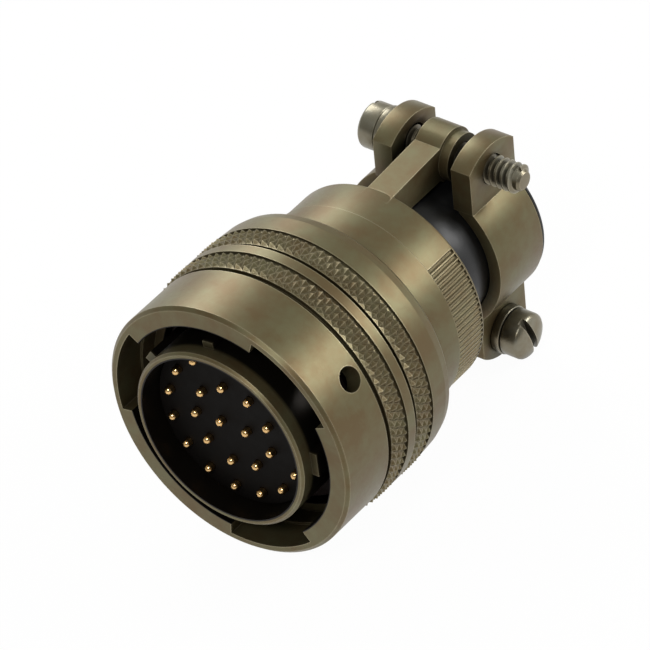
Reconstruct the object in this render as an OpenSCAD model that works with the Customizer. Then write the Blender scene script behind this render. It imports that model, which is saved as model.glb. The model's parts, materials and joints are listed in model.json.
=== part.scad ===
// Bayonet-coupling cable plug with male pins, knurled coupling nut and a two-saddle strain relief.
// Millimetres. The connector lies on its side: its axis is Y, the mating end faces -Y, the cable leaves
// towards +Y, and y = 0 is the coupling nut's front face. "Clock" angles run from +Z towards +X.

/* [Coupling nut] */
// Length of the coupling nut
nut_len = 19.5; // [18.6:0.1:22]
// Diameter over the knurl's points
nut_knurl_d = 32.54; // [32.2:0.02:34]
// Diameter of the plain band in front of the knurls
nut_band_d = 31.8; // [31.4:0.1:31.9]
// Diameter of the rear corner
nut_rear_d = 31.0; // [30:0.1:31.4]
// Bore that slides over the mating receptacle
nut_bore_d = 27.0; // [26.6:0.1:27.4]
// Bore behind the inner flange
nut_rear_bore_d = 26.9; // [26.8:0.1:27.6]
// Front and rear edge chamfer
nut_chamfer = 0.4; // [0.2:0.05:0.6]
// Length of the plain front band
band_len = 7.35; // [7:0.05:7.6]
// Width of each relief groove in front of a knurl
relief_w = 0.65; // [0.5:0.05:0.8]
// Depth of each relief groove below the knurl's points
relief_depth = 0.9; // [0.6:0.05:1]
// Width of the plain land between the knurls
land_w = 1.3; // [1:0.05:1.5]

/* [Diamond knurl] */
// Diamonds round one knurl
knurl_count = 90; // [72:1:96]
// Rows of diamonds in one knurl
knurl_rows = 3; // [3:1:3]
// Axial pitch of the rows
knurl_row_pitch = 0.9; // [0.8:0.02:0.94]
// Height of a diamond's point above its valleys
knurl_depth = 0.42; // [0.3:0.02:0.5]

/* [Bayonet] */
// Number of bayonet tracks, entry slots and inspection holes
bayonet_count = 3; // [3:1:3]
// Clock angle of the first entry slot's middle
slot_clock = 41.5; // [30:0.5:50]
// Angle that one entry slot spans
slot_angle = 46; // [38:1:50]
// Diameter at the bottom of the entry slots
slot_d = 29.8; // [29.2:0.1:30]
// Depth of the entry slots behind the front face
slot_depth = 4.2; // [4:0.1:4.6]
// Width of the helical track that guides a bayonet pin
track_w = 2.6; // [2.4:0.1:2.8]
// Diameter at the bottom of the helical track
track_d = 29.2; // [28.8:0.1:29.4]
// Axial place of the track's middle where it leaves the slot
track_start_y = 2.3; // [2.2:0.05:2.8]
// Turn from the slot's middle to the inspection hole at the end of the track
track_turn = 134; // [128:1:140]
// Diameter of an inspection hole
inspection_d = 2.9; // [2.6:0.1:3]
// Axial place of the inspection holes
inspection_y = 5.5; // [5.2:0.1:5.6]

/* [Plug shell] */
// Outer diameter of the mating barrel
barrel_d = 22.27; // [22:0.01:22.4]
// Wall of the mating barrel
barrel_wall = 0.8; // [0.7:0.05:1]
// How far the barrel stands out in front of the coupling nut
barrel_out = 1.55; // [1:0.05:2.5]
// Diameter over the polarizing keys
key_d = 23.9; // [23.5:0.1:24.2]
// Width of the main key
main_key_w = 3.0; // [2.4:0.1:3.4]
// Width of the four minor keys
minor_key_w = 1.4; // [1.2:0.1:1.8]
// Front end of the keys behind the nut's front face
key_y = 0.1; // [0:0.1:1]
// Length of the keys
key_len = 5.6; // [4:0.1:6]
// Clock angle of the main key
main_key_clock = 88; // [0:1:359]
// Diameter of the shoulder that the nut turns behind
shoulder_d = 26.2; // [25.8:0.1:26.4]
// Front of that shoulder
shoulder_y = 8.2; // [7.8:0.1:8.4]
// Thickness of that shoulder
shoulder_t = 1.2; // [1:0.1:1.4]
// Diameter of the journal that the nut turns on
journal_d = 23.4; // [23.2:0.1:23.6]
// Diameter of the rear thread's crests
rear_thread_d = 22.8; // [22.6:0.1:23]
// Rear end of the shell
shell_end_y = 21; // [20.4:0.1:21.4]

/* [Nut bearing] */
// Front of the nut's inner flange
flange_y = 10.4; // [10.3:0.05:10.6]
// Thickness of the nut's inner flange
flange_t = 1.4; // [1.2:0.1:1.5]
// Thickness of the wave spring's strip
wave_t = 0.3; // [0.2:0.05:0.35]
// Rise and fall of the wave spring
wave_amp = 0.3; // [0.1:0.05:0.3]
// Number of waves in the spring
wave_count = 3; // [3:1:4]
// Thickness of the thrust washer
thrust_t = 0.5; // [0.4:0.05:0.6]
// Thickness of the retaining ring
ring_t = 0.9; // [0.8:0.05:1]
// Depth of the shell's groove that holds the retaining ring
ring_groove = 0.6; // [0.4:0.05:0.7]
// Outer diameter of the thrust washer and the retaining ring
ring_d = 26.2; // [25.8:0.1:26.4]

/* [Contacts and inserts] */
// Diameter of a contact's mating pin
pin_d = 1.02; // [0.9:0.02:1.1]
// Place of the pins' tips behind the nut's front face
pin_tip_y = 0.45; // [0:0.05:1]
// Length of pin that stands out of the seal's face
pin_out = 1.0; // [0.8:0.05:2]
// Diameter of a contact's locking collar
collar_d = 1.9; // [1.7:0.05:2]
// Diameter of a contact's crimp barrel
crimp_d = 1.6; // [1.4:0.05:1.7]
// Wire bore in the crimp barrel
crimp_bore_d = 1.1; // [0.9:0.05:1.2]
// Whole length of a contact
contact_len = 17.6; // [17:0.1:18]
// Contacts on each ring of the insert, from the middle outwards
ring_counts = [2, 9, 15];
// Radius of each ring of contacts
ring_radii = [1.72, 5.08, 8.62];
// Clock angle of the first contact on each ring
ring_clocks = [90.8, 28.5, 16.5];
// Thickness of the rubber face seal
seal_t = 1.4; // [1.2:0.1:2]
// Rear end of the hard insert
insert_end_y = 13.2; // [12.6:0.1:13.6]
// Rear end of the rubber wire grommet
grommet_end_y = 20.2; // [19.8:0.1:20.4]
// Length of the ferrule that presses on the grommet
ferrule_len = 2.2; // [1.8:0.1:2.4]

/* [End bell] */
// Diameter of the plain front of the end bell
bell_d = 26.3; // [25.8:0.1:26.4]
// Diameter over the straight grip serrations
grip_d = 26.0; // [25.5:0.1:26]
// Front of the end bell
bell_y = 14.4; // [14:0.1:14.8]
// Front of the gripping zone
grip_y = 24.9; // [24.4:0.1:25.2]
// Length of the gripping zone
grip_len = 4.1; // [3.6:0.1:4.3]
// Rear face of the end bell's cup
bell_end_y = 29.6; // [29.4:0.1:30.4]
// Serrations in one full turn
grip_pitch_count = 150; // [120:2:160]
// Serrations in each of the two gripping zones
grip_teeth = 42; // [30:1:44]
// Depth of a serration
grip_depth = 0.28; // [0.15:0.01:0.35]
// Rear opening of the end bell
bell_mouth_d = 18.0; // [17.8:0.1:18.4]
// Pitch of the thread between shell and end bell
bell_pitch = 1.27; // [1:0.01:1.5]

/* [Clamp arms] */
// Width of an arm across the screw's direction
arm_w = 2.8; // [2.4:0.1:3]
// Height of an arm's outer face above the axis
arm_top = 12.85; // [12.6:0.05:12.9]
// Height of an arm's inner face above the axis
arm_bottom = 9.3; // [9.2:0.1:9.6]
// Axial place of the clamp screws
screw_y = 40.6; // [40:0.1:41.5]
// Distance of each clamp screw from the axis
screw_u = 11.2; // [11.1:0.1:11.6]
// Radius of the round end of an arm
arm_end_r = 3.3; // [3:0.1:3.4]
// Radius of the boss beside the arm's end
boss_r = 3.0; // [2.8:0.1:3.1]
// Length of the boss beside the arm's end
boss_len = 1.2; // [0.8:0.1:1.3]
// Screw hole through an arm
arm_hole_d = 4.0; // [4:0.1:4.2]

/* [Cable clamp] */
// Bore of the two saddles
saddle_bore_d = 17.6; // [17.4:0.1:17.8]
// Wall of the saddles' strap
saddle_wall = 1.5; // [1.3:0.1:1.7]
// Width of the saddles along the axis
saddle_w = 8.2; // [7.6:0.1:8.4]
// Radius of the saddles' round ears
ear_r = 4.0; // [3.8:0.1:4.2]
// Gap between an ear and the plane of the arms
ear_v = 2.85; // [2.8:0.05:3]
// Thickness of the ears
ear_t = 3.7; // [3.4:0.1:4]
// Thickness of the web between strap and ear
web_t = 1.5; // [1.3:0.1:1.8]
// Travel that each saddle is drawn open by the screws
saddle_travel = 1.6; // [1:0.1:1.8]

/* [Clamp screws] */
// Diameter over the screw thread
screw_d = 3.5; // [3.3:0.05:3.5]
// Pitch of the screw thread
screw_pitch = 0.794; // [0.7:0.001:0.8]
// Depth of the screw thread
thread_depth = 0.42; // [0.3:0.02:0.46]
// Length of the screw under its head
screw_len = 19.05; // [18.8:0.05:20]
// Diameter of the screw's head
head_d = 5.5; // [5.2:0.1:5.8]
// Height of the head's straight side
head_h = 2.1; // [1.8:0.1:2.4]
// Height of the head's dome
head_dome = 0.9; // [0.6:0.1:1]
// Width of the screwdriver slot
slot_w = 0.9; // [0.8:0.05:1.1]
// Depth of the screwdriver slot
slot_cut = 1.3; // [1:0.1:1.6]
// Diameter of the spring lock washers
washer_d = 5.8; // [5.6:0.1:6.2]
// Thickness of the spring lock washers
washer_t = 1.0; // [0.8:0.05:1.1]
// Width of the split in a lock washer
washer_split = 0.5; // [0.4:0.05:0.7]

/* [Cable bushing] */
// Bore that the cable passes through
cable_bore_d = 12.7; // [11:0.1:13]
// Diameter of the rubber neck inside the end bell's mouth
neck_d = 17.4; // [17:0.1:17.6]
// Diameter of the rubber shoulder in front of the saddles
rubber_shoulder_d = 18.4; // [18:0.1:18.4]
// Length of that shoulder
rubber_shoulder_len = 2.6; // [2:0.1:2.8]
// Length of rubber that shows behind the saddles
rubber_tail = 0.8; // [0.5:0.1:1.2]
// Diameter of that rear rim
rubber_tail_d = 20.2; // [18:0.1:20.6]

/* [Fits] */
// Radial clearance of a turning or threaded fit
run_fit = 0.05; // [0.02:0.01:0.08]
// Clearance round a soft or loose piece
soft_fit = 0.12; // [0.1:0.01:0.2]
// Side clearance between pieces that move past each other
side_fit = 0.1; // [0.05:0.01:0.2]

/* [Hidden] */
$fn = 96;
// places along the axis that follow from the sizes above
knurl_len = knurl_rows * knurl_row_pitch;
knurl1_y = band_len + relief_w;
land_y = knurl1_y + knurl_len;
knurl2_y = land_y + land_w + relief_w;
tail_y = knurl2_y + knurl_len;
shoulder_end_y = shoulder_y + shoulder_t;
flange_end_y = flange_y + flange_t;
thrust_y = flange_end_y + run_fit;
ring_y = thrust_y + thrust_t + run_fit;
seal_y = pin_tip_y + pin_out;
insert_y = seal_y + seal_t;
ferrule_y = grommet_end_y + run_fit;
ferrule_end_y = ferrule_y + ferrule_len;
saddle_y = screw_y - saddle_w / 2;
saddle_end_y = screw_y + saddle_w / 2;
// radii
knurl_r = nut_knurl_d / 2;
root_r = knurl_r - knurl_depth;
relief_r = knurl_r - relief_depth;
nut_bore_r = nut_bore_d / 2;
barrel_r = barrel_d / 2;
cavity_r = barrel_r - barrel_wall;
journal_r = journal_d / 2;
thread_r = rear_thread_d / 2;
bell_r = bell_d / 2;
grip_r = grip_d / 2;
bell_bore_r = thread_r - 0.9;
insert_r = cavity_r - soft_fit;
saddle_r = saddle_bore_d / 2;
strap_r = saddle_r + saddle_wall;
screw_r = screw_d / 2;
ear_out = ear_v + ear_t;
head_v = ear_out + washer_t + 2 * run_fit;
cut = 0.5;          // how far a cutter runs past a face
groove_depth = 0.5; // depth of the plain relief grooves in turned parts
key_clocks = [0, 105, 140, 215, 265];

// list of [x, z] places of all contacts, ring by ring
contact_places = [for (i = [0:len(ring_counts) - 1], k = [0:ring_counts[i] - 1])
    let (a = ring_clocks[i] + k * 360 / ring_counts[i]) [ring_radii[i] * sin(a), ring_radii[i] * cos(a)]];
function two_digits(n) = n < 10 ? str("0", n) : str(n);
function contact_name(i) = str("contact_", two_digits(i + 1));

// ---- helpers ----

// turns a shape made along +Z so that it runs along +Y
module along_axis() rotate([-90, 0, 0]) children();

// turns a shape at twelve o'clock (+Z) to a clock angle
module at_clock(a) rotate([0, a, 0]) children();

// solid of revolution about the connector's axis, from a list of [radius, y] points
module turned(points) along_axis() rotate_extrude() polygon(points);

// plain ring from y0 to y1
module ring(r_in, r_out, y0, y1) turned([[r_in, y0], [r_out, y0], [r_out, y1], [r_in, y1]]);

// disc or cutter from y0 to y1
module disc(r, y0, y1) translate([0, y0, 0]) along_axis() cylinder(r = r, h = y1 - y0);

// round bar along X at [y, z], from x0 to x1
module cross_bar(r, x0, x1, y, z) translate([x0, y, z]) rotate([0, 90, 0]) cylinder(r = r, h = x1 - x0);

// closed tube or ring through four-cornered sections [[radius, z], ...] at the given angles about Z
module swept_band(angles, sections, closed) {
    n = len(angles);
    points = [for (k = [0:n - 1], p = sections[k]) [p[0] * cos(angles[k]), p[0] * sin(angles[k]), p[1]]];
    function at(k, i) = (k % n) * 4 + i % 4;
    sides = [for (k = [0:(closed ? n - 1 : n - 2)], i = [0:3], t = [0, 1])
        t == 0 ? [at(k, i), at(k, i + 1), at(k + 1, i + 1)] : [at(k, i), at(k + 1, i + 1), at(k + 1, i)]];
    caps = closed ? [] : [[3, 2, 1, 0], [at(n - 1, 0), at(n - 1, 1), at(n - 1, 2), at(n - 1, 3)]];
    polyhedron(points, concat(sides, caps));
}

// ---- coupling nut ----

// ring of diamond pyramids, rows staggered by half a pitch, made about Z from z0
module knurl_band(z0) {
    m = 2 * knurl_count;
    last = knurl_rows + 1;
    inner_r = relief_r - 0.3;
    function row_z(j) = z0 + (j == 0 ? 0 : j == last ? knurl_len : (j - 0.5) * knurl_row_pitch);
    function is_point(c, j) = j > 0 && j < last && (c + j) % 2 == 0;
    function out(j, c) = j * m + c % m;
    function inn(j, c) = (last + 1 + j) * m + c % m;
    outer = [for (j = [0:last], c = [0:m - 1])
        let (r = is_point(c, j) ? knurl_r : root_r, a = c * 360 / m) [r * cos(a), r * sin(a), row_z(j)]];
    inner = [for (z = [z0, z0 + knurl_len], c = [0:m - 1])
        let (a = c * 360 / m) [inner_r * cos(a), inner_r * sin(a), z]];
    skin = [for (j = [0:last - 1], c = [0:m - 1], t = [0, 1])
        (c + j) % 2 == 0
            ? (t == 0 ? [out(j, c), out(j + 1, c), out(j, c + 1)] : [out(j, c + 1), out(j + 1, c), out(j + 1, c + 1)])
            : (t == 0 ? [out(j, c), out(j + 1, c), out(j + 1, c + 1)] : [out(j, c), out(j + 1, c + 1), out(j, c + 1)])];
    bore = [for (c = [0:m - 1], t = [0, 1])
        t == 0 ? [inn(0, c), inn(0, c + 1), inn(1, c)] : [inn(0, c + 1), inn(1, c + 1), inn(1, c)]];
    ends = [for (c = [0:m - 1], t = [0:3])
        t == 0 ? [inn(0, c), out(0, c), out(0, c + 1)] :
        t == 1 ? [inn(0, c), out(0, c + 1), inn(0, c + 1)] :
        t == 2 ? [inn(1, c), out(last, c + 1), out(last, c)] :
                 [inn(1, c), inn(1, c + 1), out(last, c + 1)]];
    polyhedron(concat(outer, inner), concat(skin, bore, ends));
}

// turned body of the nut, with its bores and inner flange
module nut_body() {
    under_r = root_r - 0.1;
    rear_r = nut_rear_d / 2;
    flange_r = journal_r + run_fit;
    turned([
        [nut_bore_r, 0], [nut_band_d / 2 - nut_chamfer, 0], [nut_band_d / 2, nut_chamfer],
        [nut_band_d / 2, band_len], [relief_r, band_len + 0.1], [relief_r, knurl1_y],
        [under_r, knurl1_y], [under_r, land_y], [knurl_r - 0.1, land_y],
        [knurl_r - 0.1, land_y + land_w], [relief_r, land_y + land_w + 0.1], [relief_r, knurl2_y],
        [under_r, knurl2_y], [under_r, tail_y], [knurl_r - 0.15, tail_y],
        [rear_r + 0.45, nut_len - 1.6], [rear_r + 0.2, nut_len - 0.6],
        [rear_r - 0.2, nut_len - 0.15], [rear_r - nut_chamfer - 0.2, nut_len],
        [nut_rear_bore_d / 2, nut_len], [nut_rear_bore_d / 2, flange_end_y], [flange_r, flange_end_y],
        [flange_r, flange_y], [nut_bore_r, flange_y]]);
}

// entry slot, helical track and inspection hole of one bayonet pin
module bayonet_cut(clock) {
    steps = 22;
    turn = [for (k = [0:steps]) k / steps];
    half = track_w / 2;
    inner_r = nut_bore_r - cut;
    track_r = track_d / 2;
    mids = [for (t = turn) track_start_y + t * (inspection_y - track_start_y)];
    // entry slot, open at the front face
    at_clock(clock) along_axis() rotate(-90 - slot_angle / 2) rotate_extrude(angle = slot_angle)
        polygon([[inner_r - 0.4, -cut], [slot_d / 2, -cut], [slot_d / 2, slot_depth],
                 [inner_r - 0.4, slot_depth]]);
    // track that climbs from the slot to the hole
    at_clock(clock) along_axis() swept_band([for (t = turn) -90 + t * track_turn],
        [for (z = mids) [[inner_r, z - half], [track_r, z - half], [track_r, z + half], [inner_r, z + half]]],
        false);
    at_clock(clock + track_turn) translate([0, inspection_y, inner_r - 1])
        cylinder(d = inspection_d, h = knurl_r - inner_r + 1 + cut);
}

module coupling_nut() color("darkolivegreen") union() {
    difference() {
        nut_body();
        for (i = [0:bayonet_count - 1]) bayonet_cut(slot_clock + i * 360 / bayonet_count);
    }
    along_axis() knurl_band(knurl1_y);
    along_axis() knurl_band(knurl2_y);
}

// ---- plug shell ----

module key(clock, w) at_clock(clock)
    translate([-w / 2, key_y, barrel_r - 0.4]) cube([w, key_len, key_d / 2 - barrel_r + 0.4]);

module plug_shell() color("darkolivegreen") union() {
    turned([
        [cavity_r, -barrel_out], [barrel_r - 0.3, -barrel_out], [barrel_r, -barrel_out + 0.3],
        [barrel_r, shoulder_y], [shoulder_d / 2, shoulder_y], [shoulder_d / 2, shoulder_end_y],
        [journal_r, shoulder_end_y], [journal_r, ring_y], [journal_r - ring_groove, ring_y],
        [journal_r - ring_groove, ring_y + ring_t + run_fit], [thread_r, ring_y + ring_t + run_fit],
        [thread_r, shell_end_y - 0.4], [thread_r - 0.4, shell_end_y], [cavity_r, shell_end_y]]);
    for (i = [0:len(key_clocks) - 1])
        key(main_key_clock + key_clocks[i], i == 0 ? main_key_w : minor_key_w);
}

module shell_gasket() color("maroon") ring(barrel_r + soft_fit, nut_bore_r - 0.6, shoulder_y - 1.3, shoulder_y - run_fit);

// ---- inserts and contacts ----

// holes of one diameter through every contact place
module contact_holes(d, y0, y1)
    for (p = contact_places) translate([p[0], 0, p[1]]) disc(d / 2, y0, y1);

module face_seal() color("black") difference() {
    disc(insert_r, seal_y, insert_y);
    contact_holes(pin_d + 2 * run_fit, seal_y - cut, insert_y + cut);
}

module insert_body() color("saddlebrown") difference() {
    disc(insert_r, insert_y, insert_end_y);
    contact_holes(pin_d + 2 * run_fit, insert_y - cut, insert_y + 5);
    contact_holes(collar_d + 2 * run_fit, insert_y + 4, insert_end_y + cut);
}

// crimp contact: domed pin, locking collar and hollow rear barrel
module contact(x, z) color("goldenrod") translate([x, pin_tip_y, z]) {
    pin_r = pin_d / 2;
    crimp_r = crimp_d / 2;
    collar_at = insert_y + 4.6 - pin_tip_y;
    dome = [for (a = [0:15:90]) [pin_r * sin(a), pin_r * (1 - cos(a))]];
    turned(concat(dome, [
        [pin_r, collar_at], [crimp_r, collar_at], [crimp_r, collar_at + 0.8],
        [collar_d / 2, collar_at + 0.8], [collar_d / 2, collar_at + 1.8], [crimp_r, collar_at + 1.8],
        [crimp_r, contact_len], [crimp_bore_d / 2, contact_len],
        [crimp_bore_d / 2, contact_len - 4.5], [0, contact_len - 5]]));
}

module wire_grommet() color("black") difference() {
    disc(insert_r, insert_end_y + run_fit, grommet_end_y);
    contact_holes(crimp_d + 2 * run_fit, insert_end_y - cut, grommet_end_y + cut);
}

module grommet_ferrule() color("silver")
    ring(cavity_r - 1.6, cavity_r - soft_fit, ferrule_y, ferrule_end_y);

// ---- nut bearing ----

module wave_spring() color("silver") {
    steps = 36;
    low = shoulder_end_y + run_fit;
    mid = (low + flange_y - run_fit - wave_t) / 2;
    amp = min(wave_amp, mid - low);
    r0 = journal_r + soft_fit;
    r1 = shoulder_d / 2 - 0.1;
    angles = [for (k = [0:steps - 1]) k * 360 / steps];
    along_axis() swept_band(angles, [for (a = angles) let (z = mid + amp * sin(wave_count * a))
        [[r0, z], [r1, z], [r1, z + wave_t], [r0, z + wave_t]]], true);
}

module thrust_washer() color("silver")
    ring(journal_r + run_fit, ring_d / 2, thrust_y, thrust_y + thrust_t);

// C-shaped ring that snaps into the shell's groove
module retaining_ring() color("silver") difference() {
    ring(journal_r - ring_groove + run_fit, ring_d / 2, ring_y + run_fit, ring_y + ring_t);
    translate([-1.5, ring_y - cut, 0]) cube([3, ring_t + 2 * cut, ring_d]);
}

// ---- end bell ----

// outline of the gripping zone: two serrated sectors at three and nine o'clock, plain between them
module grip_outline() {
    step = 360 / grip_pitch_count;
    first = -grip_teeth / 2 * step;
    r1 = grip_r;
    r0 = grip_r - grip_depth;
    function sector(mid) = [for (k = [0:grip_teeth - 1], s = [[0.1, r1], [0.5, r0], [0.9, r1]])
        let (a = mid + first + (k + s[0]) * step) [s[1] * cos(a), s[1] * sin(a)]];
    function plain(from, to) = [for (k = [0:20]) let (a = from + (to - from) * k / 20) [r1 * cos(a), r1 * sin(a)]];
    polygon(concat(sector(0), plain(-first + 1, 179 + first), sector(180), plain(181 - first, 359 + first)));
}

// one strain-relief arm at twelve o'clock, with its boss on the +X side
module arm() {
    translate([-arm_w / 2, bell_end_y - 1.5, arm_bottom])
        cube([arm_w, screw_y - bell_end_y + 1.5, arm_top - arm_bottom]);
    cross_bar(arm_end_r, -arm_w / 2, arm_w / 2, screw_y, screw_u);
    cross_bar(boss_r, arm_w / 2 - cut, arm_w / 2 + boss_len, screw_y, screw_u);
}

module bell_cup() difference() {
    rim_r = grip_r + 0.03;
    union() {
        turned([
            [0, bell_y], [bell_r - 0.3, bell_y], [bell_r, bell_y + 0.3], [bell_r, grip_y],
            [grip_r - grip_depth - 0.1, grip_y], [grip_r - grip_depth - 0.1, grip_y + grip_len],
            [rim_r, grip_y + grip_len], [rim_r, bell_end_y - 0.35], [rim_r - 0.35, bell_end_y],
            [0, bell_end_y]]);
        translate([0, grip_y - 0.1, 0]) along_axis() linear_extrude(grip_len + 0.2) grip_outline();
    }
    // thread bore and chamber behind the shell
    disc(thread_r + run_fit, bell_y - cut, shell_end_y + 0.3);
    disc(bell_bore_r, shell_end_y, bell_end_y - 2.2);
}

module end_bell() color("darkolivegreen") difference() {
    union() {
        bell_cup();
        for (a = [0, 180]) at_clock(a) arm();
    }
    // rear mouth, and the two screw holes
    disc(bell_mouth_d / 2, shell_end_y, saddle_end_y + 5);
    for (a = [0, 180]) at_clock(a) cross_bar(arm_hole_d / 2, -10, 10, screw_y, screw_u);
}

module cable_bushing() color("black") turned([
    [cable_bore_d / 2, bell_end_y - 2.1], [neck_d / 2, bell_end_y - 2.1],
    [neck_d / 2, saddle_y - soft_fit - rubber_shoulder_len],
    [rubber_shoulder_d / 2 - 0.3, saddle_y - soft_fit - rubber_shoulder_len],
    [rubber_shoulder_d / 2, saddle_y - soft_fit - rubber_shoulder_len + 0.5],
    [rubber_shoulder_d / 2, saddle_y - soft_fit],
    [saddle_r - soft_fit, saddle_y - soft_fit], [saddle_r - soft_fit, saddle_end_y + soft_fit],
    [rubber_tail_d / 2, saddle_end_y + soft_fit], [rubber_tail_d / 2, saddle_end_y + rubber_tail],
    [cable_bore_d / 2, saddle_end_y + rubber_tail]]);

// ---- cable clamp ----

// ear round a clamp screw at twelve o'clock, on the +X side, with its web down to the strap
module ear() {
    cross_bar(ear_r, ear_v, ear_out, screw_y, screw_u);
    translate([ear_out - web_t, saddle_y, strap_r * 0.75])
        cube([web_t, saddle_w, screw_u - strap_r * 0.75]);
}

// half strap with an ear at each end; the hole of the upper ear and of the lower ear differ
module saddle(upper_hole_d, lower_hole_d) difference() {
    union() {
        intersection() {
            disc(strap_r, saddle_y, saddle_end_y);
            translate([ear_v, saddle_y - cut, -strap_r]) cube([strap_r, saddle_w + 2 * cut, 2 * strap_r]);
        }
        ear();
        mirror([0, 0, 1]) ear();
    }
    disc(saddle_r, saddle_y - 2 * cut, saddle_end_y + 2 * cut);
    cross_bar(upper_hole_d / 2, 0, strap_r + 5, screw_y, screw_u);
    cross_bar(lower_hole_d / 2, 0, strap_r + 5, screw_y, -screw_u);
}

// the upper ear is tapped and the lower ear takes the head of the lower screw
module clamp_saddle_right() color("darkolivegreen")
    saddle(screw_d + 2 * run_fit, arm_hole_d);
module clamp_saddle_left() color("darkolivegreen")
    rotate([0, 180, 0]) saddle(screw_d + 2 * run_fit, arm_hole_d);

// screw along X with its head on the +X side, thread crests as rings
module clamp_screw() {
    tip = -screw_len;
    turns = floor((screw_len - 2.2) / screw_pitch);
    core = screw_r - thread_depth;
    rings = [for (k = [0:turns - 1], s = [[0, core], [0.35, screw_r], [0.5, screw_r]])
        [s[1], tip + 0.5 + (k + s[0]) * screw_pitch]];
    dome = [for (a = [0:15:90]) [head_d / 2 * cos(a), head_h + head_dome * sin(a)]];
    difference() {
        rotate([0, 90, 0]) rotate_extrude() polygon(concat(
            [[0, tip], [core - 0.2, tip], [core, tip + 0.3]], rings,
            [[core, -1.4], [screw_r, -1.2], [screw_r, 0], [head_d / 2 - 0.2, 0], [head_d / 2, 0.2]], dome));
        translate([head_h + head_dome - slot_cut, -slot_w / 2, -head_d])
            cube([slot_cut + cut, slot_w, 2 * head_d]);
    }
}

// lock washer along X from x = 0, split across its ring on a slant
module lock_washer() difference() {
    cross_bar(washer_d / 2, 0, washer_t, 0, 0);
    cross_bar(screw_r + soft_fit, -cut, washer_t + cut, 0, 0);
    rotate([25, 0, 0]) translate([-cut, 0, 0]) rotate([0, 0, 20])
        translate([0, -washer_split / 2, 0]) cube([washer_t + 2 * cut, washer_split, washer_d]);
}

// places the hardware of the screw whose head is on the right, below the axis
module at_lower_screw(v) translate([v, screw_y, -screw_u]) children();

module clamp_screw_lower() color("dimgray") at_lower_screw(head_v) clamp_screw();
module clamp_screw_upper() color("dimgray") rotate([0, 180, 0]) at_lower_screw(head_v) clamp_screw();
module lock_washer_lower() color("dimgray") at_lower_screw(ear_out + run_fit) lock_washer();
module lock_washer_upper() color("dimgray") rotate([0, 180, 0]) at_lower_screw(ear_out + run_fit) lock_washer();

// ---- nodes ----

coupling_nut();
plug_shell();
shell_gasket();
face_seal();
insert_body();
for (i = [0:len(contact_places) - 1])
    contact(contact_places[i][0], contact_places[i][1]);
wire_grommet();
grommet_ferrule();
wave_spring();
thrust_washer();
retaining_ring();
end_bell();
cable_bushing();
clamp_saddle_left();
clamp_saddle_right();
clamp_screw_upper();
clamp_screw_lower();
lock_washer_upper();
lock_washer_lower();
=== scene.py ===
# %% [markdown]
# # A bayonet cable plug and its finishes
#
# The plug's shapes come ready from the CAD model: a knurled coupling nut, a shell with twenty-six
# gold pins, an end bell with two arms, and a clamp of two saddles round a rubber bushing.
# Here the bell, the bushing and the clamp are modelled again in finer detail, and every part gets its
# finish, under a light and a camera. All sizes are in metres, in the CAD's own frame: the axis of the
# plug is Y, its mating end faces -Y, and Z points up.

# %% Load the parts
import json
import math

import bpy
from mathutils import Matrix, Vector


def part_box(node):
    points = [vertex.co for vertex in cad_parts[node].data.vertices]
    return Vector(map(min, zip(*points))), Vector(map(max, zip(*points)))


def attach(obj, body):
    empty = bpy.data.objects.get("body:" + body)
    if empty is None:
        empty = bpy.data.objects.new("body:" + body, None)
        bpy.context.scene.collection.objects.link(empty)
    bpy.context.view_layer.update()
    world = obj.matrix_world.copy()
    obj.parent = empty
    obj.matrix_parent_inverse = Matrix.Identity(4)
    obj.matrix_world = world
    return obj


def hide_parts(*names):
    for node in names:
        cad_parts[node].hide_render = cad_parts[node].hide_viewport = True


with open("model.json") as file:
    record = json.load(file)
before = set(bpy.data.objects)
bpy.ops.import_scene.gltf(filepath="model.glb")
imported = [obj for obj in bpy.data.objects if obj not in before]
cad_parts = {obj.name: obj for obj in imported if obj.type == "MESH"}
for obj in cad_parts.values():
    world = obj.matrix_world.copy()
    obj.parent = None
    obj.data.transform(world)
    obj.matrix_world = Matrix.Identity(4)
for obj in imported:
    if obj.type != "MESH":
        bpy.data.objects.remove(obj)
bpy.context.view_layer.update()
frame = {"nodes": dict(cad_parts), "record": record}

mm = 0.001
nodes = frame["nodes"]

# %% [markdown]
# ## The camera
#
# The plug is seen through a long lens, from in front, above and to the right of the mating end.
# A camera is an object with a place and three directions, so it can be placed by writing those down:
# `back` points from the plug to the lens, `right` and `up` follow the edges of the view. Building the
# matrix from them is surer than guessing three angles. The lens is long, so the view is nearly flat.

# %% Place the camera
back = Vector((0.49735, -0.59744, 0.62906)).normalized()
right = Vector((0.80581, 0.58676, -0.07982)).normalized()
up = back.cross(right)
lens_distance = 624.6 * mm
# in millimetres: the lens, and the point looked at, measured to the right of the origin and up from it
lens_length = 323.4
aim_right, aim_up = 10.42, 11.48
aim = right * aim_right * mm + up * aim_up * mm

camera_data = bpy.data.cameras.new("camera")
camera_data.sensor_width = 36.0
camera_data.lens = lens_length
camera_data.clip_start = 10 * mm
camera = bpy.data.objects.new("camera", camera_data)
bpy.context.scene.collection.objects.link(camera)
turn = Matrix((right, up, back)).transposed()
camera.matrix_world = Matrix.Translation(aim + back * lens_distance) @ turn.to_4x4()
bpy.context.scene.camera = camera
print(f"camera {lens_distance:.3f} m away, lens {camera_data.lens:.0f} mm")

# %% [markdown]
# ## The table and the light
#
# The plug lies on its side: the knurl of the nut touches the table in front and the two lower tabs of
# the clamp touch it behind. The nut is a little fatter than the clamp is deep, so the table is tilted
# by that small angle to meet both, instead of moving the plug out of its own frame.
# The light is that of a white tent. The world is pale behind the plug and dim in front of it, with two
# large soft lamps behind, on the left and on the right, and a smaller one in front, so the turned metal
# shows one broad bright band and dark flanks.

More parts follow.
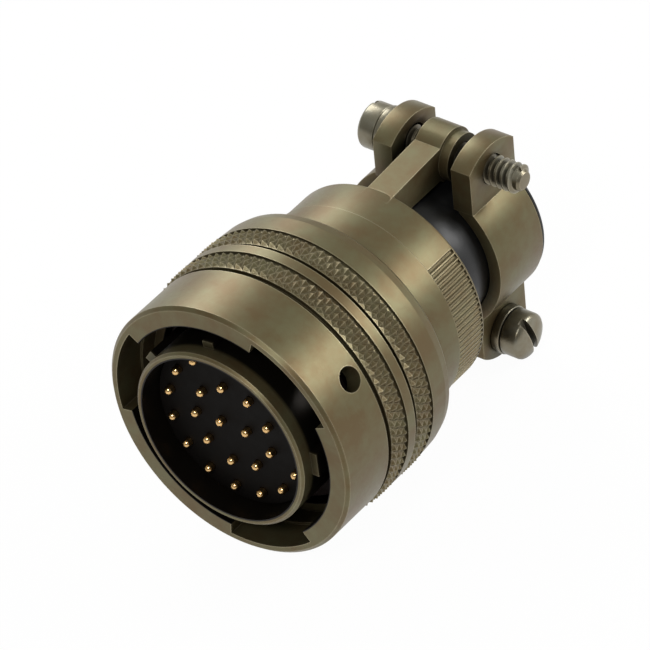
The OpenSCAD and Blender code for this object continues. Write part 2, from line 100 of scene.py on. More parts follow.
# %% Tilt the table to touch nut and clamp
nut_low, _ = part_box("coupling_nut")
knurl_y = 15.35 * mm
tab_y = 40.6 * mm
tab_top_z = 14.5 * mm
table_size = 3.0
front_touch = Vector((0, knurl_y, nut_low.z))
rear_touch = Vector((0, tab_y, -tab_top_z))
slope = math.atan2(rear_touch.z - front_touch.z, rear_touch.y - front_touch.y)

bpy.ops.mesh.primitive_plane_add(size=table_size, location=front_touch, rotation=(slope, 0, 0))
table = bpy.context.object
table.name = "table"
print(f"table tilted by {math.degrees(slope):.2f} degrees")


# %% Helpers for colours and nodes
def colour(hex_value):
    """sRGB hex such as 8a7b5c to the linear colour that a shader wants."""
    parts = [int(hex_value[i:i + 2], 16) / 255 for i in (0, 2, 4)]
    linear = [c / 12.92 if c <= 0.04045 else ((c + 0.055) / 1.055) ** 2.4 for c in parts]
    return (*linear, 1.0)


def add(tree, kind, settings=None, **links):
    """Adds one node. Settings name its properties or sockets; links feed its input sockets."""
    node = tree.nodes.new(kind)
    for name, value in (settings or {}).items():
        if hasattr(node, name):
            setattr(node, name, value)
        else:
            node.inputs[name].default_value = value
    for name, source in links.items():
        tree.links.new(source, node.inputs[name.replace("_", " ")])
    return node


def fresh(name):
    """A new empty material and its node tree."""
    material = bpy.data.materials.new(name)
    material.use_nodes = True
    material.node_tree.nodes.clear()
    return material, material.node_tree


# %% White paper for the table
# the glow shows only to the eye and in reflections, so it throws no light on dull surfaces
paper_white = 0.97
paper, tree = fresh("white_paper")
rays = add(tree, "ShaderNodeLightPath")
diffuse = add(tree, "ShaderNodeBsdfDiffuse", {"Color": colour("f4f4f2")})
glow = add(tree, "ShaderNodeEmission", {"Color": (1, 1, 1, 1), "Strength": 1.0})
direct = add(tree, "ShaderNodeMath", {"operation": "ADD"})
tree.links.new(rays.outputs["Is Camera Ray"], direct.inputs[0])
tree.links.new(rays.outputs["Is Glossy Ray"], direct.inputs[1])
either = add(tree, "ShaderNodeMath", {"operation": "MAXIMUM"})
tree.links.new(direct.outputs[0], either.inputs[0])
tree.links.new(rays.outputs["Is Transmission Ray"], either.inputs[1])
seen = add(tree, "ShaderNodeMath", {"operation": "MULTIPLY"})
tree.links.new(either.outputs[0], seen.inputs[0])
seen.inputs[1].default_value = paper_white
blend = add(tree, "ShaderNodeMixShader")
tree.links.new(seen.outputs[0], blend.inputs[0])
tree.links.new(diffuse.outputs[0], blend.inputs[1])
tree.links.new(glow.outputs[0], blend.inputs[2])
add(tree, "ShaderNodeOutputMaterial", None, Surface=blend.outputs[0])
table.data.materials.append(paper)

# %% A tent that is pale behind and dim in front
# the tent brightens from dim to pale as a direction turns towards the pale side
pale_side = (-0.45, 0.65, 0.60)
dim_from, pale_from = -0.6, 0.9
dim_light, pale_light = 0.16, 0.62
world = bpy.data.worlds.new("white_tent")
bpy.context.scene.world = world
world.use_nodes = True
tree = world.node_tree
tree.nodes.clear()
toward = add(tree, "ShaderNodeTexCoord")
behind = add(tree, "ShaderNodeVectorMath", {"operation": "DOT_PRODUCT"})
tree.links.new(toward.outputs["Generated"], behind.inputs[0])
behind.inputs[1].default_value = pale_side
level = add(tree, "ShaderNodeMapRange",
            {"From Min": dim_from, "From Max": pale_from, "To Min": dim_light, "To Max": pale_light},
            Value=behind.outputs["Value"])
soft = add(tree, "ShaderNodeBackground", {"Color": colour("f2f4ee")}, Strength=level.outputs["Result"])
add(tree, "ShaderNodeOutputWorld", None, Surface=soft.outputs[0])

# %% Three soft lamps
plug_middle = Vector((0, 20 * mm, 0))


def softbox(name, place, size, watts):
    """A square lamp at a place in metres that faces the plug."""
    lamp = bpy.data.lights.new(name, "AREA")
    lamp.size = size
    lamp.energy = watts
    box = bpy.data.objects.new(name, lamp)
    facing = (Vector(place) - plug_middle).to_track_quat("Z", "Y").to_matrix().to_4x4()
    box.matrix_world = Matrix.Translation(place) @ facing
    bpy.context.scene.collection.objects.link(box)
    return box


# place and size in metres, then watts
softbox("lamp_right_behind", (0.40, 0.40, 0.34), 0.24, 2.0)
softbox("lamp_left_behind", (-0.50, 0.30, 0.38), 0.34, 2.6)
softbox("lamp_front", (0.20, -0.60, 0.62), 0.16, 2.6)
print("table, tent and three lamps are in place")

# %% [markdown]
# ## The cable clamp
#
# On the real plug two cast saddles are drawn together on the cable by two long screws. Each saddle is
# half a strap with a flat, round-topped tab at either end, and the screws also pass through the arms of
# the end bell. The tabs are thinner than the CAD's ears and sit closer to the arms, so the clamp is
# modelled here. A strap is a ring with wall thickness that is cut off at its tabs, a tab is the top of a
# disc whose straight edge is extruded down to the strap, and a Boolean makes them one piece.

# %% Clamp sizes, from the frame
strap_low, strap_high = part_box("clamp_saddle_right")
rubber_low, rubber_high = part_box("cable_bushing")
joint_of = {joint["name"]: joint for joint in frame["record"]["behaviour"]["joints"]}
screw_y, screw_z = joint_of["upper_screw_turn"]["pos_m"][1:]
clamp_width = strap_high.y - strap_low.y
strap_inside = 8.8 * mm
strap_outside = strap_high.x
tab_round = 6.35 * mm
tab_thick = 2.55 * mm
tab_inner = {"left": 3.30 * mm, "right": 4.65 * mm}
# the tab's straight sides start this share of its round above the middle, and its foot is sunk
# in the strap
tab_shoulder = 0.6
foot_inset, foot_lift = 0.1 * mm, 0.06 * mm
strap_trim = 0.5 * mm
screw_radius = 1.75 * mm
thread_pitch = 0.794 * mm
# cutters stand out this far, and points closer than touching are one point
overshoot = 1 * mm
touching = 0.001 * mm
print(f"clamp screws at y {screw_y:.4f} and z {screw_z:.4f}, strap {strap_outside:.4f} in radius")


# %% Hand tools to place, edit and extrude
def settle():
    """Puts the object's place, turn and scale into its mesh."""
    bpy.ops.object.transform_apply(location=True, rotation=True, scale=True)


def edit(piece):
    """Makes one object active and opens its mesh with everything selected."""
    bpy.ops.object.select_all(action="DESELECT")
    piece.select_set(True)
    bpy.context.view_layer.objects.active = piece
    bpy.ops.object.mode_set(mode="EDIT")
    bpy.ops.mesh.select_mode(type="VERT")
    bpy.ops.mesh.select_all(action="SELECT")


def done():
    """Turns the faces outwards and leaves edit mode."""
    bpy.ops.mesh.select_all(action="SELECT")
    bpy.ops.mesh.normals_make_consistent(inside=False)
    bpy.ops.object.mode_set(mode="OBJECT")


def pick(piece, wanted):
    """Selects the vertices that pass a test, and only those."""
    bpy.ops.mesh.select_all(action="DESELECT")
    bpy.ops.object.mode_set(mode="OBJECT")
    for vertex in piece.data.vertices:
        vertex.select = wanted(vertex.co)
    bpy.ops.object.mode_set(mode="EDIT")


def pull(vector):
    """Extrudes what is selected."""
    bpy.ops.mesh.extrude_region_move(TRANSFORM_OT_translate={"value": vector})


# %% Hand tools to join, cut and drill
bar_sides = 48


def carve(piece, tool, operation):
    """Joins a tool to a piece or cuts it away, and deletes the tool."""
    bpy.ops.object.select_all(action="DESELECT")
    piece.select_set(True)
    bpy.context.view_layer.objects.active = piece
    boolean = piece.modifiers.new("carve", "BOOLEAN")
    boolean.operation = operation
    boolean.solver = "EXACT"
    boolean.object = tool
    bpy.ops.object.modifier_apply(modifier="carve")
    bpy.data.objects.remove(tool)


def bar(radius, x0, x1, y, z):
    """A round bar along X."""
    bpy.ops.mesh.primitive_cylinder_add(vertices=bar_sides, radius=radius, depth=x1 - x0,
                                        location=((x0 + x1) / 2, y, z), rotation=(0, math.pi / 2, 0))
    settle()
    return bpy.context.object


# %% Hand tools to turn a section round
def outline(name, points, closed):
    """An object of edges through points in the X-Z plane.

    A turner's section is only a line of sizes, and no primitive has that, so its points are written down.
    """
    mesh = bpy.data.meshes.new(name)
    last = len(points) if closed else len(points) - 1
    corners = [(x, 0, z) for x, z in points]
    edges = [(k, (k + 1) % len(points)) for k in range(last)]
    mesh.from_pydata(corners, edges, [])
    piece = bpy.data.objects.new(name, mesh)
    bpy.context.scene.collection.objects.link(piece)
    return piece


def winding(piece, turns, climb, steps):
    """Turns an outline about X, climbing a little in each turn."""
    bpy.ops.object.select_all(action="DESELECT")
    piece.select_set(True)
    bpy.context.view_layer.objects.active = piece
    wind = piece.modifiers.new("wind", "SCREW")
    wind.axis = "X"
    wind.angle = math.tau
    wind.steps = steps
    wind.render_steps = steps
    wind.iterations = turns
    wind.screw_offset = climb
    wind.use_merge_vertices = True
    wind.merge_threshold = touching
    bpy.ops.object.modifier_apply(modifier="wind")
    edit(piece)
    bpy.ops.mesh.remove_doubles(threshold=touching)
    bpy.ops.mesh.select_all(action="SELECT")
    bpy.ops.mesh.fill_holes(sides=0)
    done()


# %% Hand tool to break sharp edges
sharp_degrees, smooth_degrees = 35, 32


def round_edges(piece, width):
    """Breaks the sharp edges and smooths what is nearly flat."""
    bpy.ops.object.select_all(action="DESELECT")
    piece.select_set(True)
    bpy.context.view_layer.objects.active = piece
    bevel = piece.modifiers.new("edges", "BEVEL")
    bevel.width = width
    bevel.segments = 3
    bevel.limit_method = "ANGLE"
    bevel.angle_limit = math.radians(sharp_degrees)
    bevel.harden_normals = False
    bpy.ops.object.modifier_apply(modifier="edges")
    bpy.ops.object.shade_smooth_by_angle(angle=math.radians(smooth_degrees))


# %% A tab of a saddle
tab_sides = 96


def tab(side, x_in, up_or_down):
    """One flat tab with a round top, its foot sunk into the strap so that the two overlap."""
    centre_z = tab_top_z - tab_round
    side_z = centre_z + tab_shoulder * tab_round
    foot_z = math.sqrt((strap_inside - foot_inset) ** 2 - x_in ** 2) + foot_lift
    bpy.ops.mesh.primitive_circle_add(vertices=tab_sides, radius=tab_round, fill_type="NGON",
                                      location=(side * x_in, screw_y, centre_z),
                                      rotation=(0, math.pi / 2, 0))
    settle()
    piece = bpy.context.object
    edit(piece)
    for edge_y, outwards in ((strap_low.y, -1), (strap_high.y, 1)):
        bpy.ops.mesh.select_all(action="SELECT")
        bpy.ops.mesh.bisect(plane_co=(0, edge_y, 0), plane_no=(0, outwards, 0), clear_outer=True)
    bpy.ops.mesh.select_all(action="SELECT")
    bpy.ops.mesh.bisect(plane_co=(0, 0, side_z), plane_no=(0, 0, -1), clear_outer=True)
    pick(piece, lambda p: p.z < side_z + touching)
    pull((0, 0, foot_z - side_z))
    bpy.ops.mesh.select_all(action="SELECT")
    pull((side * tab_thick, 0, 0))
    if up_or_down < 0:
        bpy.ops.mesh.select_all(action="SELECT")
        bpy.ops.transform.resize(value=(1, 1, -1), center_override=(0, 0, 0))
    done()
    return piece


# %% A saddle: a strap with two tabs and two holes
saddle_edge = 0.22 * mm
strap_sides = 128


def saddle(name, side, x_in, body, holes):
    """Half a strap with a tab at each end, bored for its two screws."""
    bpy.ops.mesh.primitive_cylinder_add(vertices=strap_sides, radius=strap_outside, depth=clamp_width,
                                        end_fill_type="NOTHING", location=(0, screw_y, 0),
                                        rotation=(math.pi / 2, 0, 0))
    settle()
    piece = bpy.context.object
    piece.name = name
    wall = piece.modifiers.new("wall", "SOLIDIFY")
    wall.thickness = strap_outside - strap_inside
    wall.offset = -1
    bpy.ops.object.modifier_apply(modifier="wall")
    edit(piece)
    bpy.ops.mesh.bisect(plane_co=(side * (x_in + strap_trim), 0, 0), plane_no=(side, 0, 0),
                        clear_inner=True, use_fill=True)
    done()
    for up_or_down, hole in zip((1, -1), holes):
        carve(piece, tab(side, x_in, up_or_down), "UNION")
        x0, x1 = sorted((side * (x_in - overshoot), side * (x_in + tab_thick + overshoot)))
        carve(piece, bar(hole, x0, x1, screw_y, up_or_down * screw_z), "DIFFERENCE")
    round_edges(piece, saddle_edge)
    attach(piece, body)
    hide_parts("clamp_" + name.replace("cast_", ""))
    print(f"{name}: {len(piece.data.polygons)} faces")
    return piece


# %% Both saddles, each tapped at one end and drilled at the other
tapped = screw_radius + 0.05 * mm
drilled = 2.0 * mm
saddles = [saddle("cast_saddle_left", -1, tab_inner["left"], "saddle_left", (drilled, tapped)),
           saddle("cast_saddle_right", 1, tab_inner["right"], "saddle_right", (tapped, drilled))]

# %% [markdown]
# ## The end bell
#
# The end bell is turned from bar, fluted on its two sides for a grip, and milled to leave two arms that
# reach back to the clamp. Turning is what a wound outline does: the section of the cup goes once round.
# The flutes are one thin rod, copied at each step round the cup and cut away all together. Each arm is
# a flat bar with a round knuckle and a short boss for the screw, joined and drilled with Booleans.

# %% Turn the cup
# all in millimetres: places along the axis, then radii
cup_start, cup_step, cup_rim = 14.4, 24.6, 29.6
counterbore_end, mouth_start = 21.3, 27.4
thread_bore, chamber_bore, mouth_bore = 11.45, 10.5, 9.0
cup_outside, grip_outside = 13.13, 13.0
cup_steps = 192
front_edge = [(cup_start, thread_bore), (cup_start, 12.9), (14.65, cup_outside)]
grip_band = [(cup_step, cup_outside), (24.75, grip_outside), (29.1, grip_outside)]
rounded_rim = [(29.35, 12.95), (29.52, 12.82), (cup_rim, 12.6)]
inside = [(cup_rim, mouth_bore), (mouth_start, mouth_bore), (mouth_start, chamber_bore),
          (counterbore_end, chamber_bore), (counterbore_end, thread_bore)]
cup_section = front_edge + grip_band + rounded_rim + inside
end_bell = outline("turned_bell", [(y * mm, r * mm) for y, r in cup_section], True)
winding(end_bell, 1, 0.0, cup_steps)
end_bell.rotation_euler = (0, 0, math.pi / 2)
settle()
print(f"cup: {len(end_bell.data.polygons)} faces")

# %% Cut the flutes of the grip
flute_start, flute_end = 24.75 * mm, 29.2 * mm
flute_radius = 0.29 * mm
flute_ring = 13.05 * mm
flute_sides = 10
flute_step = 3.1
flute_count = 28
flutes = []
for middle_clock in (90, 270):
    for k in range(flute_count):
        clock = math.radians(middle_clock + (k - (flute_count - 1) / 2) * flute_step)
        flute_x, flute_z = flute_ring * math.sin(clock), flute_ring * math.cos(clock)
        bpy.ops.mesh.primitive_cylinder_add(
            vertices=flute_sides, radius=flute_radius, depth=flute_end - flute_start,
            location=(flute_x, (flute_start + flute_end) / 2, flute_z),
            rotation=(math.pi / 2, 0, 0))
        flutes.append(bpy.context.object)
bpy.ops.object.select_all(action="DESELECT")
for flute in flutes:
    flute.select_set(True)
bpy.context.view_layer.objects.active = flutes[0]
bpy.ops.object.join()
settle()
carve(end_bell, flutes[0], "DIFFERENCE")
print(f"end bell: {2 * flute_count} flutes, {len(end_bell.data.polygons)} faces")


# %% Arms with knuckles, joined to the cup
knuckle_radius = 3.25 * mm
boss_radius, boss_reach, boss_root = 2.9 * mm, 1.2 * mm, 0.3 * mm
arm_bore = 1.95 * mm
rubber_clear, clear_length = 9.05 * mm, 40 * mm
arm_root, arm_edge = 1.5 * mm, 0.2 * mm
bell_smooth_degrees = 25


def arm(up_or_down):
    """One flat arm with a round knuckle and a boss, bored for the screw."""
    x0, x1 = -1.4 * mm, 2.0 * mm
    low_z, high_z = 9.3 * mm, 12.8 * mm
    rise = 0.85 * mm
    root_y = cup_rim * mm - arm_root
    middle = ((x0 + x1) / 2, (root_y + screw_y) / 2, (low_z + high_z) / 2)
    bpy.ops.mesh.primitive_cube_add(size=1, location=middle)
    piece = bpy.context.object
    piece.scale = (x1 - x0, screw_y - root_y, high_z - low_z)
    settle()
    edit(piece)
    pick(piece, lambda p: p.y > screw_y - touching and p.z > screw_z)
    bpy.ops.transform.translate(value=(0, 0, rise))
    done()
    carve(piece, bar(knuckle_radius, x0, x1, screw_y, screw_z), "UNION")
    carve(piece, bar(boss_radius, x1 - boss_root, x1 + boss_reach, screw_y, screw_z), "UNION")
    carve(piece, bar(arm_bore, 2 * x0, 3 * x1, screw_y, screw_z), "DIFFERENCE")
    bpy.ops.mesh.primitive_cylinder_add(vertices=strap_sides, radius=rubber_clear, depth=clear_length,
                                        location=(0, screw_y, 0), rotation=(math.pi / 2, 0, 0))
    settle()
    carve(piece, bpy.context.object, "DIFFERENCE")
    round_edges(piece, arm_edge)
    if up_or_down < 0:
        edit(piece)
        bpy.ops.transform.resize(value=(1, 1, -1), center_override=(0, 0, 0))
        done()
    return piece


arms = [arm(1), arm(-1)]
bpy.ops.object.select_all(action="DESELECT")
for piece in arms + [end_bell]:
    piece.select_set(True)
bpy.context.view_layer.objects.active = end_bell
bpy.ops.object.join()
bpy.ops.object.shade_smooth_by_angle(angle=math.radians(bell_smooth_degrees))
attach(end_bell, "bell")
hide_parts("end_bell")
print(f"end bell: {len(end_bell.data.polygons)} faces with its two arms")

# %% [markdown]
# ## The rubber bushing
#
# The bushing is one moulding of black rubber. It fills the mouth of the bell, swells to a soft ridge in
# the gap, is gripped by the saddles and ends in a lip behind them. Its section is wound round once, and
# the ridge is half a sine wave, because a squeezed rubber ring has no edge.

# %% Wind the bushing's section
bore = 6.35 * mm
in_the_bell = 8.7 * mm
gripped = strap_inside - 0.12 * mm
ridge_start, ridge_end = 29.9 * mm, strap_low.y - 0.1 * mm
ridge_foot, ridge_rise = 8.6, 0.6
ridge_steps = 12
lip = rubber_high.x
lip_neck = 9.9 * mm
grip_overlap, lip_step, lip_front = 0.1 * mm, 0.12 * mm, 0.3 * mm
lip_corner, lip_chamfer = 0.25 * mm, 0.3 * mm
bushing_steps = 128
rubber_smooth_degrees = 35
section = [(rubber_low.y, bore), (rubber_low.y, in_the_bell), (ridge_start, in_the_bell)]
for k in range(1, ridge_steps):
    share = k / ridge_steps
    ridge_y = ridge_start + share * (ridge_end - ridge_start)
    section.append((ridge_y, (ridge_foot + ridge_rise * math.sin(math.pi * share)) * mm))
section += [(ridge_end, gripped), (strap_high.y + grip_overlap, gripped),
            (strap_high.y + lip_step, lip_neck), (strap_high.y + lip_front, lip),
            (rubber_high.y - lip_corner, lip), (rubber_high.y, lip - lip_chamfer), (rubber_high.y, bore)]
bushing = outline("rubber_bushing", section, True)
winding(bushing, 1, 0.0, bushing_steps)
bushing.rotation_euler = (0, 0, math.pi / 2)
settle()
bpy.ops.object.shade_smooth_by_angle(angle=math.radians(rubber_smooth_degrees))
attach(bushing, "bell")
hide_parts("cable_bushing")
print(f"bushing: {len(bushing.data.polygons)} faces")

# %% [markdown]
# ## Clamp screws and lock washers
#
# The screws are fillister heads with a fine thread. A thread is one ridge that winds round the core, so
# a small four-cornered profile is given a Screw modifier that climbs one pitch a turn. The shank and the
# domed head are a profile that is spun round, and the driver slot is cut with a Boolean. The split lock
# washers are a square section spun not quite all the way.

# %% One screw along X, made with its head towards +X and its seat at x = 0
screw_length = 18.45 * mm
thread_depth = 0.48 * mm
plain_neck = 1.9 * mm
head_radius, head_side, head_dome = 2.75 * mm, 1.9 * mm, 0.95 * mm
head_chamfer, screw_edge = 0.15 * mm, 0.08 * mm
dome_degrees = (0, 12, 25, 40, 55, 70, 82)
slot_cutter = (2.3 * mm, 0.85 * mm, 8 * mm)
slot_turn = 18
point_step, point_length = 0.25 * mm, 0.3 * mm
neck_start, neck_end = -0.9 * mm, -0.6 * mm
# the thread's section: where it starts, where its crest begins and ends, its foot, and how deep it is sunk
thread_start = 0.25 * mm
crest_start, crest_end, thread_foot = 0.22 * mm, 0.34 * mm, 0.56 * mm
thread_sunk = 0.05 * mm
screw_steps, thread_steps = 48, 32


def clamp_screw(name, side, seat_x, z, body, node):
    """Fillister-head screw with a wound thread, its slot turned a little."""
    core = screw_radius - thread_depth
    tip = -screw_length
    shank = [(tip, 0), (tip, core - point_step), (tip + point_length, core), (neck_start, core),
             (neck_end, screw_radius), (0, screw_radius)]
    rim = [(0, head_radius - head_chamfer), (head_chamfer, head_radius)]
    dome = [(head_side + head_dome * math.sin(a), head_radius * math.cos(a))
            for a in [math.radians(d) for d in dome_degrees]]
    body_line = shank + rim + dome + [(head_side + head_dome, 0)]
    piece = outline(name, body_line, False)
    winding(piece, 1, 0.0, screw_steps)
    bpy.ops.mesh.primitive_cube_add(size=1, location=(head_side + head_dome, 0, 0))
    slot = bpy.context.object
    slot.scale = slot_cutter
    slot.rotation_euler = (math.radians(slot_turn), 0, 0)
    settle()
    carve(piece, slot, "DIFFERENCE")
    round_edges(piece, screw_edge)
    turns = int((screw_length - plain_neck) / thread_pitch)
    start = tip + thread_start
    root = core - thread_sunk
    ridge = outline("ridge", [(start, root), (start + crest_start, screw_radius),
                              (start + crest_end, screw_radius), (start + thread_foot, root)], True)
    winding(ridge, turns, thread_pitch, thread_steps)
    bpy.ops.object.select_all(action="DESELECT")
    ridge.select_set(True)
    piece.select_set(True)
    bpy.context.view_layer.objects.active = piece
    bpy.ops.object.join()
    if side < 0:
        edit(piece)
        bpy.ops.transform.resize(value=(-1, -1, 1), center_override=(0, 0, 0))
        done()
    piece.location = (side * seat_x, screw_y, z)
    settle()
    bpy.ops.object.shade_smooth_by_angle(angle=math.radians(smooth_degrees))
    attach(piece, body)
    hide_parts(node)
    print(f"{name}: {turns} turns of thread, {len(piece.data.polygons)} faces")
    return piece


# %% One split lock washer
washer_thick, washer_width = 1.0 * mm, 0.95 * mm
washer_radius = 2.4 * mm
washer_lift, washer_edge = 0.04 * mm, 0.1 * mm
washer_turn, washer_steps = 346, 40


def lock_washer(name, side, seat_x, z, body, node):
    """Square wire bent to a ring, its two ends a little apart."""
    middle_x = side * (seat_x + washer_thick / 2 + washer_lift)
    bpy.ops.mesh.primitive_plane_add(size=1, location=(middle_x, screw_y, z - washer_radius),
                                     rotation=(math.pi / 2, 0, 0))
    piece = bpy.context.object
    piece.name = name
    piece.scale = (washer_thick, washer_width, 1)
    settle()
    edit(piece)
    bpy.ops.mesh.spin(steps=washer_steps, angle=math.radians(washer_turn), center=(0, screw_y, z),
                      axis=(1, 0, 0))
    done()
    round_edges(piece, washer_edge)
    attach(piece, body)
    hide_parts(node)
    return piece


# %% Two screws and two washers, one of each from either side
washer_room = 1.1 * mm
left_face = tab_inner["left"] + tab_thick
right_face = tab_inner["right"] + tab_thick
left_seat = left_face + washer_room
right_seat = right_face + washer_room
hardware = [
    clamp_screw("wound_screw_upper", -1, left_seat, screw_z, "screw_upper", "clamp_screw_upper"),
    clamp_screw("wound_screw_lower", 1, right_seat, -screw_z, "screw_lower", "clamp_screw_lower"),
    lock_washer("bent_washer_upper", -1, left_face, screw_z, "saddle_left", "lock_washer_upper"),
    lock_washer("bent_washer_lower", 1, right_face, -screw_z, "saddle_right", "lock_washer_lower")]

# %% [markdown]
# ## Olive cadmium plating
#
# The shells are machined aluminium and steel under cadmium with an olive chromate film. The film is
# thin and slightly uneven, so the metal reads as a satin olive brown with greener and browner clouds
# a few millimetres across, a very fine grain, and paler edges, partly where handling has thinned it and
# partly as painted highlight on the points of the knurl.
# It is built as a metallic shader with a middling roughness. Noise on Object coordinates makes the
# clouds, the Bevel node finds the edges by comparing the rounded normal with the true one, and the
# Ambient Occlusion node finds the recesses, which are darkened as painted shade. The inner walls
# are painted nearly black, also as painted shade.


# %% What the plated finish is made of
clouds_per_metre = 230.0
grain_per_metre = 2600.0
grain_height = 0.02 * mm
edge_radius = 0.22 * mm
recess_reach = 4 * mm
# painted shade: the near black of the inner walls and of the barrel hidden in the nut
inner_shade_tint = "17120c"


def clouded_film(tree, place, greenish, brownish):
    """The two colours of the film, in clouds about 4 mm across."""
    clouds = add(tree, "ShaderNodeTexNoise", {"Scale": clouds_per_metre, "Detail": 6.0, "Roughness": 0.65},
                 Vector=place.outputs["Object"])
    spread = add(tree, "ShaderNodeMapRange", {"From Min": 0.38, "From Max": 0.62},
                 Value=clouds.outputs["Fac"])
    film = add(tree, "ShaderNodeMix", {"data_type": "RGBA"})
    tree.links.new(spread.outputs["Result"], film.inputs["Factor"])
    film.inputs[6].default_value = colour(greenish)
    film.inputs[7].default_value = colour(brownish)
    return film.outputs[2]


def edge_wear_and_highlights(tree, film, edge, wear_and_glint):
    """Paler where the normal, rounded over the edge radius, differs from the true one: wear, and painted
    highlight on the knurl's points.
    """
    rounded = add(tree, "ShaderNodeBevel", {"Radius": edge_radius})
    true = add(tree, "ShaderNodeNewGeometry")
    same = add(tree, "ShaderNodeVectorMath", {"operation": "DOT_PRODUCT"})
    tree.links.new(rounded.outputs[0], same.inputs[0])
    tree.links.new(true.outputs["Normal"], same.inputs[1])
    scuffs_and_highlights = add(tree, "ShaderNodeMapRange", {"From Min": 0.99, "From Max": 0.86, "To Max": wear_and_glint},
               Value=same.outputs["Value"])
    coat = add(tree, "ShaderNodeMix", {"data_type": "RGBA"})
    tree.links.new(scuffs_and_highlights.outputs["Result"], coat.inputs["Factor"])
    tree.links.new(film, coat.inputs[6])
    coat.inputs[7].default_value = colour(edge)
    return coat.outputs[2]


def painted_recess_shade(tree, coat):
    """Painted shade: darker where something stands close in front of the surface."""
    hollow = add(tree, "ShaderNodeAmbientOcclusion", {"samples": 8, "Distance": recess_reach})
    recess_shade_amount = add(tree, "ShaderNodeMapRange",
                {"From Min": 0.1, "From Max": 0.8, "To Min": 0.30, "To Max": 1.0},
                Value=hollow.outputs["AO"])
    deep = add(tree, "ShaderNodeMix", {"data_type": "RGBA", "blend_type": "MULTIPLY", "Factor": 1.0})
    tree.links.new(coat, deep.inputs[6])
    tree.links.new(recess_shade_amount.outputs["Result"], deep.inputs[7])
    return deep.outputs[2]


def painted_inner_shade(tree, place, coat, shade_within, shade_behind):
    """Painted shade: nearly black within one radius of the axis and behind one place along it."""
    across = add(tree, "ShaderNodeVectorMath", {"operation": "MULTIPLY"})
    tree.links.new(place.outputs["Object"], across.inputs[0])
    across.inputs[1].default_value = (1, 0, 1)
    radius = add(tree, "ShaderNodeVectorMath", {"operation": "LENGTH"})
    tree.links.new(across.outputs[0], radius.inputs[0])
    within = add(tree, "ShaderNodeMath", {"operation": "LESS_THAN"})
    tree.links.new(radius.outputs["Value"], within.inputs[0])
    within.inputs[1].default_value = shade_within
    along = add(tree, "ShaderNodeSeparateXYZ", None, Vector=place.outputs["Object"])
    depth = add(tree, "ShaderNodeMapRange", {"From Min": shade_behind, "From Max": shade_behind + 0.5 * mm},
                Value=along.outputs["Y"])
    shade_share = add(tree, "ShaderNodeMath", {"operation": "MAXIMUM"})
    tree.links.new(within.outputs[0], shade_share.inputs[0])
    tree.links.new(depth.outputs["Result"], shade_share.inputs[1])
    inner_shaded = add(tree, "ShaderNodeMix", {"data_type": "RGBA"})
    tree.links.new(shade_share.outputs[0], inner_shaded.inputs["Factor"])
    tree.links.new(coat, inner_shaded.inputs[6])
    inner_shaded.inputs[7].default_value = colour(inner_shade_tint)
    return inner_shaded.outputs[2]


# %% The plated finish, put together
def plated_metal(name, greenish, brownish, edge, roughness, metallic, wear_and_glint,
                 shade_within=0.0, shade_behind=1.0):
    """Chromated plating with clouds, pale edges of wear and painted highlight, and painted shade in
    recesses.

    The inner walls, where little light gets in, are painted nearly black as painted shade. With no
    radius given, and the place along the axis a metre away, there are none.
    """
    material, tree = fresh(name)
    place = add(tree, "ShaderNodeTexCoord")
    film = clouded_film(tree, place, greenish, brownish)
    coat = edge_wear_and_highlights(tree, film, edge, wear_and_glint)
    deep = painted_recess_shade(tree, coat)
    inner_shaded = painted_inner_shade(tree, place, deep, shade_within, shade_behind)
    fine = add(tree, "ShaderNodeTexNoise", {"Scale": grain_per_metre, "Detail": 3.0, "Roughness": 0.6},
               Vector=place.outputs["Object"])
    gloss = add(tree, "ShaderNodeMapRange", {"To Min": roughness - 0.06, "To Max": roughness + 0.08},
                Value=fine.outputs["Fac"])
    grain = add(tree, "ShaderNodeBump", {"Strength": 0.2, "Distance": grain_height},
                Height=fine.outputs["Fac"])
    shader = add(tree, "ShaderNodeBsdfPrincipled", {"Metallic": metallic})
    tree.links.new(inner_shaded, shader.inputs["Base Color"])
    tree.links.new(gloss.outputs["Result"], shader.inputs["Roughness"])
    tree.links.new(grain.outputs["Normal"], shader.inputs["Normal"])
    add(tree, "ShaderNodeOutputMaterial", None, Surface=shader.outputs[0])
    return material


# greenish, brownish, pale edge of wear and painted highlight, roughness, metallic, share of wear and
# painted highlight
olive = ("6a6448", "655539", "a0967a", 0.41, 0.68, 0.9)
olive_plate = plated_metal("olive_cadmium_plate", *olive)
# painted shade: of the shell only the front rim keeps the olive colour, and the nut is painted dark inside
barrel_in_shade_plate = plated_metal("shaded_olive_barrel", *olive, shade_within=10.5 * mm, shade_behind=-0.1 * mm)
nut_in_shade_plate = plated_metal("shaded_olive_nut", *olive, shade_within=13.6 * mm)
screw_plate = plated_metal("olive_cadmium_screw", "8b887a", "7b725e", "bdb59f", 0.34, 0.85, 0.7)
print("four plated finishes")

# %% [markdown]
# ## Gold, rubber, plastic and bare metal
#
# The other finishes have one colour each, and gloss is what tells them apart. Gold plate on a turned pin
# is a clear warm mirror. The moulded insert and its silicone face are matt and nearly black, so that the
# pins stand out against them. The bushing has the dull shine of moulded rubber, rolled spring steel is
# bright, and turned aluminium is a little softer. One recipe serves them all: noise about a millimetre
# across makes gloss, shade and height vary a little, so that none of them looks like flat paint.

# %% Gold pins, rubber, moulded plastic and bare metal
spots_per_metre = 900.0
spot_height = 0.03 * mm
uneven = 0.08


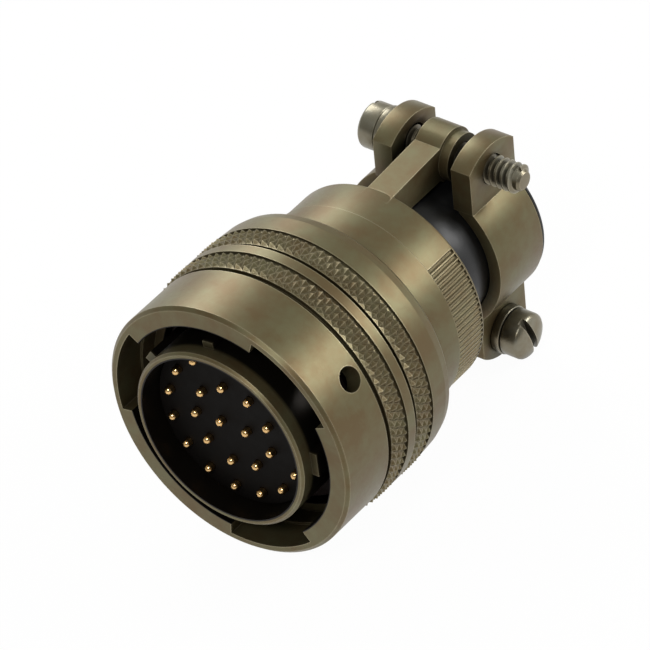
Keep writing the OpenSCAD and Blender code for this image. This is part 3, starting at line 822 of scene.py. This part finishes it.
def plain_finish(name, tint, roughness, metallic=0.0, bump=0.1, specular=0.5):
    """A single-coloured finish whose gloss and height vary a little."""
    material, tree = fresh(name)
    place = add(tree, "ShaderNodeTexCoord")
    grain = add(tree, "ShaderNodeTexNoise", {"Scale": spots_per_metre, "Detail": 3.0},
                Vector=place.outputs["Object"])
    gloss = add(tree, "ShaderNodeMapRange", {"To Min": roughness - uneven, "To Max": roughness + uneven},
                Value=grain.outputs["Fac"])
    shade = add(tree, "ShaderNodeMapRange", {"To Min": 0.75, "To Max": 1.25}, Value=grain.outputs["Fac"])
    tone = add(tree, "ShaderNodeMix", {"data_type": "RGBA", "blend_type": "MULTIPLY", "Factor": 1.0})
    tone.inputs[6].default_value = colour(tint)
    tree.links.new(shade.outputs["Result"], tone.inputs[7])
    height = add(tree, "ShaderNodeBump", {"Strength": bump, "Distance": spot_height},
                 Height=grain.outputs["Fac"])
    shader = add(tree, "ShaderNodeBsdfPrincipled", {"Metallic": metallic, "Specular IOR Level": specular})
    tree.links.new(tone.outputs[2], shader.inputs["Base Color"])
    tree.links.new(gloss.outputs["Result"], shader.inputs["Roughness"])
    tree.links.new(height.outputs["Normal"], shader.inputs["Normal"])
    add(tree, "ShaderNodeOutputMaterial", None, Surface=shader.outputs[0])
    return material


# the gasket is red silicone, painted nearly black here as painted shade, because it lies deep in the gap
gold = plain_finish("gold_plate", "e0b87e", 0.22, metallic=1.0, bump=0.05)
insert_plastic = plain_finish("moulded_insert", "0f0b08", 0.6, specular=0.2)
face_rubber = plain_finish("silicone_face", "090604", 0.7, specular=0.12)
gasket_in_shade = plain_finish("silicone_gasket", "1d100d", 0.7, specular=0.2)
black_rubber = plain_finish("black_rubber", "070709", 0.42)
spring_steel = plain_finish("spring_steel", "8f8f8c", 0.3, metallic=1.0)
bare_aluminium = plain_finish("turned_aluminium", "b5b5b2", 0.35, metallic=1.0)
print("seven plain finishes")

# %% [markdown]
# ## Hand the finishes out
#
# The record names a material slot for each part. One table turns a slot into a finish, so a part that
# the CAD gains later gets its finish by its slot. The shell and the nut have a plating of their own,
# because their inner walls are painted dark as painted shade, and the new pieces take the finish of the
# parts they stand for.

# %% Give each part its finish
finish_of = {
    "plated_shell": olive_plate, "plated_hardware": screw_plate, "spring_steel": spring_steel,
    "ferrule_metal": bare_aluminium, "contact_gold": gold, "insert_plastic": insert_plastic,
    "insert_rubber": face_rubber, "seal_rubber": gasket_in_shade, "bushing_rubber": black_rubber,
}
slot_of = {part["node"]: part["material_slot"] for part in frame["record"]["subparts"]}
new_pieces = {piece: "plated_shell" for piece in saddles + [end_bell]}
new_pieces[bushing] = "bushing_rubber"
new_pieces.update({piece: "plated_hardware" for piece in hardware})
for name, part in nodes.items():
    part.data.materials.clear()
    part.data.materials.append(finish_of[slot_of[name]])
nodes["plug_shell"].data.materials[0] = barrel_in_shade_plate
nodes["coupling_nut"].data.materials[0] = nut_in_shade_plate
for piece, slot in new_pieces.items():
    piece.data.materials.clear()
    piece.data.materials.append(finish_of[slot])
print(f"{len(finish_of)} finishes on {len(nodes)} parts and {len(new_pieces)} new pieces")

# %% View settings
bpy.context.scene.view_settings.view_transform = "Standard"
